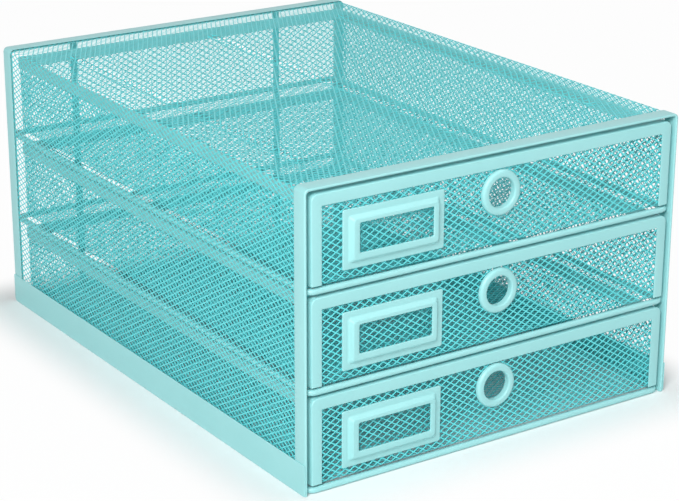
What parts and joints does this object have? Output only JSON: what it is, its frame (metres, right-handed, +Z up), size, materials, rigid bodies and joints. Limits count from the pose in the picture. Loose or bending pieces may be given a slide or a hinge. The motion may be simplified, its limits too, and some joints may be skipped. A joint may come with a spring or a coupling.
{
  "type": "desktop drawer unit",
  "caption": "Low steel-mesh desktop cabinet with an open back and wide shallow drawers, each with a label holder and a round finger hole, sliding on bent rods.",
  "frame": {"origin": "middle of the footprint of the whole closed unit, on the surface that it stands on", "axes": "+X to the right seen from the front, +Y from the drawer fronts to the open back, +Z up"},
  "size_m": [0.2546, 0.3522, 0.172],
  "materials": {
    "expanded_mesh": "expanded steel sheet, satin turquoise powder coat",
    "folded_strip": "folded and stamped steel strip, satin turquoise powder coat",
    "steel_rod": "round steel rod, satin turquoise powder coat"
  },
  "bodies": {
    "cabinet": {"left_side_mesh": "expanded_mesh", "right_side_mesh": "expanded_mesh", "top_mesh": "expanded_mesh", "left_shoulder_mesh": "expanded_mesh", "right_shoulder_mesh": "expanded_mesh", "front_trim": "folded_strip", "rear_trim": "folded_strip", "left_base_strip": "folded_strip", "right_base_strip": "folded_strip", "bottom_runner_loop": "steel_rod", "middle_runner_loop": "steel_rod", "top_runner_loop": "steel_rod", "left_rear_strap": "folded_strip", "right_rear_strap": "folded_strip"},
    "bottom_drawer": {"bottom_drawer_front_mesh": "expanded_mesh", "bottom_drawer_floor_mesh": "expanded_mesh", "bottom_drawer_left_mesh": "expanded_mesh", "bottom_drawer_right_mesh": "expanded_mesh", "bottom_drawer_rear_mesh": "expanded_mesh", "bottom_drawer_front_frame": "folded_strip", "bottom_drawer_rim": "folded_strip", "bottom_drawer_label_holder": "folded_strip", "bottom_drawer_finger_ring": "folded_strip"},
    "middle_drawer": {"middle_drawer_front_mesh": "expanded_mesh", "middle_drawer_floor_mesh": "expanded_mesh", "middle_drawer_left_mesh": "expanded_mesh", "middle_drawer_right_mesh": "expanded_mesh", "middle_drawer_rear_mesh": "expanded_mesh", "middle_drawer_front_frame": "folded_strip", "middle_drawer_rim": "folded_strip", "middle_drawer_label_holder": "folded_strip", "middle_drawer_finger_ring": "folded_strip"},
    "top_drawer": {"top_drawer_front_mesh": "expanded_mesh", "top_drawer_floor_mesh": "expanded_mesh", "top_drawer_left_mesh": "expanded_mesh", "top_drawer_right_mesh": "expanded_mesh", "top_drawer_rear_mesh": "expanded_mesh", "top_drawer_front_frame": "folded_strip", "top_drawer_rim": "folded_strip", "top_drawer_label_holder": "folded_strip", "top_drawer_finger_ring": "folded_strip"}
  },
  "joints": [
    {"name": "bottom_drawer_slide", "type": "slide", "parent": "cabinet", "child": "bottom_drawer", "axis": [0, -1, 0], "range_m": [0, 0.25]},
    {"name": "middle_drawer_slide", "type": "slide", "parent": "cabinet", "child": "middle_drawer", "axis": [0, -1, 0], "range_m": [0, 0.25]},
    {"name": "top_drawer_slide", "type": "slide", "parent": "cabinet", "child": "top_drawer", "axis": [0, -1, 0], "range_m": [0, 0.25]}
  ]
}
